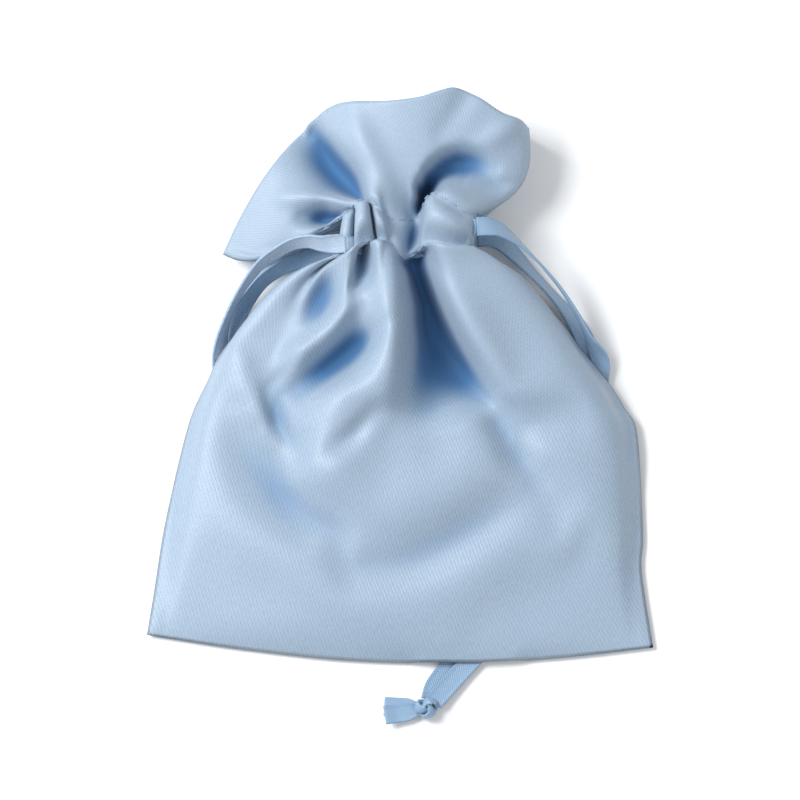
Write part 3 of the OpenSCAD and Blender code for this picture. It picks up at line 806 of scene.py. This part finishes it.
# Blender's Cloth on both sides of the pouch, and the places where they come to rest
def settleCloth():
    scale = clothValues["scale"]
    start = np.zeros((pointCount, 3))
    rest = np.zeros((pointCount, 3))
    flat = np.zeros((rows, columns, 3))
    flat[:, :, 0] = columnPlaces[None, :] - 40
    flat[:, :, 1] = rowPlaces[:, None]
    for ids, grid in ((backIds, backGrid), (frontIds, frontGrid)):
        start[ids.ravel()] = grid.reshape(-1, 3)
        shape = flat.copy()
        # the cloth is cut a little narrower towards the neck, where the gathers take up less of it
        taken = np.linalg.norm(np.diff(grid[casingStart], axis=0), axis=1).sum() / pattern["width"]
        near = smooth((rowPlaces[:casingStart] / 74 - 0.55) / 0.45)[:, None]
        shape[:casingStart, :, 0] *= 1 + (taken - 1) * near
        shape[casingStart:] = grid[casingStart:]
        rest[ids.ravel()] = shape.reshape(-1, 3)
    faces = []
    for j in range(rows - 1):
        for i in range(columns - 1):
            a = frontIds
            faces.append((int(a[j, i]), int(a[j, i + 1]), int(a[j + 1, i + 1]), int(a[j + 1, i])))
            b = backIds
            faces.append((int(b[j + 1, i]), int(b[j + 1, i + 1]), int(b[j, i + 1]), int(b[j, i])))
    piece = makeMesh("pouch_sewn", start * scale, faces, [])
    piece.shape_key_add(name="Basis")
    restKey = piece.shape_key_add(name="flat")
    restKey.data.foreach_set("co", (rest * scale).ravel())
    pins = set()
    soft = set()
    for j in range(rows):
        for i in range(columns):
            both = {int(frontIds[j, i]), int(backIds[j, i])}
            if casingStart - 1 <= j <= casingEnd or (i in (0, columns - 1) and j <= casingEnd) or j == 0:
                pins |= both
            elif j > casingEnd:
                soft |= both
    held = piece.vertex_groups.new(name="held")
    held.add(sorted(soft - pins), clothValues["frillHeld"], "REPLACE")
    held.add(sorted(pins), 1.0, "REPLACE")
    filled = piece.vertex_groups.new(name="filled")
    inner = {int(n) for n in frontIds[:casingStart].ravel()} | {int(n) for n in backIds[:casingStart].ravel()}
    filled.add(sorted(inner), 1.0, "REPLACE")
    cloth = piece.modifiers.new("cloth", "CLOTH")
    values = cloth.settings
    values.quality = clothValues["quality"]
    values.mass = clothValues["mass"]
    values.tension_stiffness = clothValues["stretch"]
    values.compression_stiffness = clothValues["stretch"]
    values.shear_stiffness = clothValues["shear"]
    values.bending_stiffness = clothValues["bending"]
    values.bending_model = "ANGULAR"
    values.tension_damping = clothValues["damping"]
    values.compression_damping = clothValues["damping"]
    values.shear_damping = clothValues["damping"]
    values.bending_damping = clothValues["bendingDamping"]
    values.air_damping = clothValues["airDamping"]
    values.vertex_group_mass = "held"
    values.pin_stiffness = clothValues["pin"]
    values.rest_shape_key = restKey
    values.use_pressure = True
    values.uniform_pressure_force = clothValues["pressure"]
    values.vertex_group_pressure = "filled"
    values.effector_weights.gravity = clothValues["gravity"]
    cloth.collision_settings.use_self_collision = False
    cloth.collision_settings.distance_min = clothValues["gap"]
    # the table, raised where the ribbons pass
    xs = np.linspace(-60, 60, 81)
    ys = np.linspace(-65, 60, 84)
    gx, gy = np.meshgrid(xs, ys)
    ground = np.stack([gx, gy, lift(gx, gy) - 0.5], -1).reshape(-1, 3)
    squares = [(j * 81 + i, j * 81 + i + 1, (j + 1) * 81 + i + 1, (j + 1) * 81 + i)
               for j in range(83) for i in range(80)]
    table = makeMesh("cloth_table", ground * scale, squares, [])
    table.modifiers.new("collision", "COLLISION")
    table.collision.thickness_outer = clothValues["gap"]
    scene.frame_start = 1
    scene.frame_end = clothValues["frames"]
    cloth.point_cache.frame_start = 1
    cloth.point_cache.frame_end = clothValues["frames"]
    for number in range(1, clothValues["frames"] + 1):
        scene.frame_set(number)
    seen = piece.evaluated_get(bpy.context.evaluated_depsgraph_get())
    places = np.zeros(pointCount * 3)
    seen.data.vertices.foreach_get("co", places)
    places = places.reshape(-1, 3) / scale
    scene.frame_set(1)
    for made in (piece, table):
        bpy.data.objects.remove(made, do_unlink=True)
    moved = places - start
    far = np.linalg.norm(moved, axis=1, keepdims=True)
    kept = start + moved * np.minimum(1, clothValues["cap"] / np.maximum(far, 1e-9))
    print("cloth moved up to", round(float(far.max()), 2), "mm, capped at", clothValues["cap"])
    return kept[frontIds], kept[backIds]


frontGrid, backGrid = settleCloth()
print("cloth settled")

clothFinish = {"thickness": 0.28, "foldsAgain": 0.25}


# Twice the points each way, with smooth curves between them
def finer(grid):
    def along(g):
        n = g.shape[0]
        ext = np.concatenate([2 * g[:1] - g[1:2], g, 2 * g[-1:] - g[-2:-1]])
        mid = (-ext[:-3] + 9 * ext[1:-2] + 9 * ext[2:-1] - ext[3:]) / 16
        out = np.zeros((2 * n - 1,) + g.shape[1:])
        out[::2] = g
        out[1::2] = mid
        return out
    return np.swapaxes(along(np.swapaxes(along(grid), 0, 1)), 0, 1)


def gridNormals(grid, upward):
    du = np.gradient(grid, axis=1)
    dv = np.gradient(grid, axis=0)
    normals = unit(np.cross(du, dv))
    return normals if upward else -normals


# Painted shade: how far each place lies below its smoothed neighbours, from 0 to 1, which darkens the satin's
# colour in the hollows
def paintedShadeAmount(grid):
    z = grid[:, :, 2:3]
    near = relax(z, 110)
    wide = relax(near, 420)
    depth = 0.5 * (near - z) / 2.2 + 0.75 * (wide - z) / 4.2
    return 0.92 * smooth(depth[:, :, 0] * 0.92)


# One side of the pouch as closed cloth with two faces
def clothPiece(name, grid, upward):
    fine = finer(grid)
    normals = gridNormals(fine, upward)
    thick = clothFinish["thickness"]
    high, wide = fine.shape[:2]
    outer = fine
    # thinner towards the seams, so that the two sides close on one line
    place = np.minimum(np.arange(wide), np.arange(wide)[::-1])
    taper = np.minimum(smooth(place / 4)[None, :], smooth(np.arange(high) / 4)[:, None])
    inner = fine - normals * thick * np.maximum(taper, 0.02)[:, :, None]
    # the inside face keeps to the pouch's own outline
    inner[0] = outer[0]
    inner[:, 0] = outer[:, 0]
    inner[:, -1] = outer[:, -1]
    ids = np.arange(high * wide).reshape(high, wide)
    more = ids + high * wide
    faces = []
    for j in range(high - 1):
        for i in range(wide - 1):
            ring = (int(ids[j, i]), int(ids[j, i + 1]), int(ids[j + 1, i + 1]), int(ids[j + 1, i]))
            back = (int(more[j, i]), int(more[j, i + 1]), int(more[j + 1, i + 1]), int(more[j + 1, i]))
            # both turned so that they are split along the same diagonal
            faces.append(ring if upward else (ring[0], *ring[:0:-1]))
            faces.append((back[0], *back[:0:-1]) if upward else back)
    rim = [(j, 0) for j in range(high)] + [(high - 1, i) for i in range(1, wide)]
    rim += [(j, wide - 1) for j in range(high - 2, -1, -1)] + [(0, i) for i in range(wide - 2, 0, -1)]
    inside = {}
    for j, i in rim:
        inside[int(more[j, i])] = int(ids[j, i])
    # the open hem has a rim, the other edges close on the outline
    opened = {int(more[high - 1, i]) for i in range(1, wide - 1)}
    remap = {a: b for a, b in inside.items() if a not in opened}
    faces = [tuple(remap.get(n, n) for n in face) for face in faces]
    for i in range(wide - 1):
        a, b = int(ids[high - 1, i]), int(ids[high - 1, i + 1])
        below = [int(more[high - 1, i + 1]), int(more[high - 1, i])]
        ring = [a, b] + [remap.get(n, n) for n in below]
        ring = [n for k, n in enumerate(ring) if n not in ring[:k]]
        faces.append(tuple(ring if upward else ring[::-1]))
    verts = np.concatenate([outer.reshape(-1, 3), inner.reshape(-1, 3)]) * mm
    placesU = np.linspace(0, 0.8, wide)
    placesV = np.interp(np.linspace(0, rows - 1, high), np.arange(rows), rowPlaces / 100)
    uv = np.stack(np.meshgrid(placesU, placesV), -1).reshape(-1, 2)
    uvs = np.concatenate([uv, uv])
    # painted shade in the hollows, on the front only
    paintedShade = paintedShadeAmount(fine) if upward else np.zeros((high, wide))
    values = np.concatenate([paintedShade.ravel(), paintedShade.ravel()])
    made = makeMesh(name, verts, faces, [satin], uvs)
    layer = made.data.attributes.new("hollow", "FLOAT", "POINT")
    layer.data.foreach_set("value", values.astype(np.float32))
    cleanLoose(made)
    return made, fine


# Removes points that no face uses and turns the faces outwards
def cleanLoose(piece):
    made = bmesh.new()
    made.from_mesh(piece.data)
    loose = [v for v in made.verts if not v.link_faces]
    bmesh.ops.delete(made, geom=loose, context="VERTS")
    bmesh.ops.recalc_face_normals(made, faces=made.faces)
    made.to_mesh(piece.data)
    made.free()


# The back stays off the ribbons and the front off the back, and both meet along the seams
def keepClear(front, back):
    v = rowPlaces[:, None] / 74
    low = lift(back[:, :, 0], back[:, :, 1]) * (1 - np.clip(v, 0, 1) ** 6)
    back[:, :, 2] = np.maximum(back[:, :, 2], low)
    front[:, 0] = back[:, 0]
    front[:, -1] = back[:, -1]
    front[0] = back[0]
    inner = front[1:, 1:-1].reshape(-1, 3)
    under = back.reshape(-1, 3)
    floor = np.zeros(len(inner))
    for i in range(0, len(inner), 400):
        part = inner[i:i + 400, None, :2] - under[None, :, :2]
        near = (part ** 2).sum(2) < 1.1 ** 2
        floor[i:i + 400] = np.where(near, under[None, :, 2], -9).max(1)
    inner[:, 2] = np.maximum(inner[:, 2], floor + 0.5)
    front[1:, 1:-1] = inner.reshape(rows - 1, columns - 2, 3)
    smoothed = relax(front, 1)
    front[1:casingStart - 1, 1:-1] = smoothed[1:casingStart - 1, 1:-1]
    return front, back


again = foldHeight(frontGrid[:, :, 0], frontGrid[:, :, 1], bodyFolds) * clothFinish["foldsAgain"]
inBody = smooth((68 - rowPlaces) / 8)[:, None]
inFront = smooth(np.minimum(columnPlaces, 80 - columnPlaces) / 5)[None, :]
frontGrid[:, :, 2] += again * inBody * inFront
frontGrid, backGrid = keepClear(frontGrid, backGrid)
frontCloth, frontFine = clothPiece("front_cloth", frontGrid, True)
backCloth, backFine = clothPiece("back_cloth", backGrid, False)
for piece, nodes in (
        (frontCloth, ("front_panel", "front_casing", "front_heading", "bottom_seam", "left_side_seam",
                      "left_heading_seam")),
        (backCloth, ("back_panel", "back_casing", "back_heading", "right_side_seam",
                     "right_heading_seam"))):
    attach(piece, "pouch")
    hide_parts(*nodes)
print("cloth pieces done", len(frontCloth.data.polygons))


# Stitches

stitchValues = {"length": 1.5 * mm, "gap": 0.5 * mm, "radius": 0.13 * mm, "lift": 0.08 * mm, "seed": 5}


# Geometry Nodes that lay one stitch after another along a line
def stitchNodes():
    tree = bpy.data.node_groups.new("stitches", "GeometryNodeTree")
    tree.interface.new_socket("Line", in_out="INPUT", socket_type="NodeSocketGeometry")
    for name in ("Pitch", "Length", "Radius"):
        tree.interface.new_socket(name, in_out="INPUT", socket_type="NodeSocketFloat")
    tree.interface.new_socket("Seed", in_out="INPUT", socket_type="NodeSocketInt")
    tree.interface.new_socket("Stitches", in_out="OUTPUT", socket_type="NodeSocketGeometry")
    nodes, links = tree.nodes, tree.links
    given = nodes.new("NodeGroupInput")
    result = nodes.new("NodeGroupOutput")
    places = nodes.new("GeometryNodeCurveToPoints")
    places.mode = "LENGTH"
    bead = nodes.new("GeometryNodeMeshUVSphere")
    bead.inputs["Segments"].default_value = 10
    bead.inputs["Rings"].default_value = 7
    bead.inputs["Radius"].default_value = 0.5
    size = nodes.new("ShaderNodeCombineXYZ")
    double = nodes.new("ShaderNodeMath")
    double.operation = "MULTIPLY"
    double.inputs[1].default_value = 2.0
    copies = nodes.new("GeometryNodeInstanceOnPoints")
    uneven = nodes.new("FunctionNodeRandomValue")
    uneven.data_type = "FLOAT"
    uneven.inputs["Min"].default_value = 0.88
    uneven.inputs["Max"].default_value = 1.0
    longer = nodes.new("ShaderNodeMath")
    longer.operation = "MULTIPLY"
    real = nodes.new("GeometryNodeRealizeInstances")
    smoothed = nodes.new("GeometryNodeSetShadeSmooth")
    finish = nodes.new("GeometryNodeSetMaterial")
    finish.inputs["Material"].default_value = thread
    for source, output, target, entry in (
            (given, "Line", places, "Curve"), (given, "Pitch", places, "Length"),
            (given, "Radius", double, 0), (given, "Seed", uneven, "Seed"),
            (given, "Length", longer, 0), (uneven, "Value", longer, 1),
            (double, 0, size, "X"), (double, 0, size, "Y"), (longer, 0, size, "Z"),
            (places, "Points", copies, "Points"), (places, "Rotation", copies, "Rotation"),
            (bead, "Mesh", copies, "Instance"), (size, "Vector", copies, "Scale"),
            (copies, "Instances", real, "Geometry"), (real, "Geometry", smoothed, "Geometry"),
            (smoothed, "Geometry", finish, "Geometry"), (finish, "Geometry", result, "Stitches")):
        links.new(source.outputs[output], target.inputs[entry])
    return tree


stitchTree = stitchNodes()


# One line of stitches as a plain mesh
def stitchLine(name, points, node):
    data = bpy.data.curves.new(name + "_line", "CURVE")
    data.dimensions = "3D"
    line = data.splines.new("POLY")
    line.points.add(len(points) - 1)
    for i, p in enumerate(points):
        line.points[i].co = (*p, 1)
    guide = bpy.data.objects.new(name + "_line", data)
    scene.collection.objects.link(guide)
    made = guide.modifiers.new("stitches", "NODES")
    made.node_group = stitchTree
    values = {"Pitch": stitchValues["length"] + stitchValues["gap"], "Length": stitchValues["length"],
              "Radius": stitchValues["radius"], "Seed": stitchValues["seed"]}
    for item in stitchTree.interface.items_tree:
        if item.name in values:
            made[item.identifier] = values[item.name]
    bpy.context.view_layer.update()
    seen = guide.evaluated_get(bpy.context.evaluated_depsgraph_get())
    mesh = bpy.data.meshes.new_from_object(seen)
    mesh.name = name
    bpy.data.objects.remove(guide, do_unlink=True)
    piece = bpy.data.objects.new(name, mesh)
    scene.collection.objects.link(piece)
    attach(piece, "pouch")
    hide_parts(node)
    print(name, len(mesh.polygons))
    return piece


def addStitches():
    for side, fine, upward in (("front", frontFine, True), ("back", backFine, False)):
        normals = gridNormals(fine, upward)
        for level, row in (("lower", casingStart * 2 - 1), ("upper", casingEnd * 2 + 1)):
            points = fine[row] * mm + normals[row] * stitchValues["lift"]
            stitchLine(side + "_" + level + "_stitches", points[2:-2].tolist(),
                       side + "_" + level + "_stitching")


addStitches()
print("stitches done")


# Table and light

stageValues = {"floor": colour(0.93, 0.935, 0.94), "world": 0.56,
               "key": {"at": (-0.40, 0.14, 0.50), "size": 0.32, "power": 4.7},
               "fill": {"at": (0.40, -0.20, 0.60), "size": 0.6, "power": 0.9}}


def addStage():
    material = bpy.data.materials.new("table")
    material.use_nodes = True
    shader = material.node_tree.nodes["Principled BSDF"]
    shader.inputs["Base Color"].default_value = stageValues["floor"]
    shader.inputs["Roughness"].default_value = 0.9
    shader.inputs["Specular IOR Level"].default_value = 0.1
    floor = makeMesh("table_top", [(-3, -3, 0), (3, -3, 0), (3, 3, 0), (-3, 3, 0)], [(0, 1, 2, 3)],
                     [material])
    for name in ("key", "fill"):
        values = stageValues[name]
        data = bpy.data.lights.new(name, "AREA")
        data.size = values["size"]
        data.energy = values["power"]
        lamp = bpy.data.objects.new(name, data)
        lamp.location = values["at"]
        lamp.rotation_euler = (-Vector(values["at"])).to_track_quat("-Z", "Y").to_euler()
        scene.collection.objects.link(lamp)
    world = bpy.data.worlds.new("studio")
    world.use_nodes = True
    world.node_tree.nodes["Background"].inputs[0].default_value = colour(0.97, 0.985, 1.0)
    world.node_tree.nodes["Background"].inputs[1].default_value = stageValues["world"]
    scene.world = world
    scene.view_settings.view_transform = "Standard"


addStage()
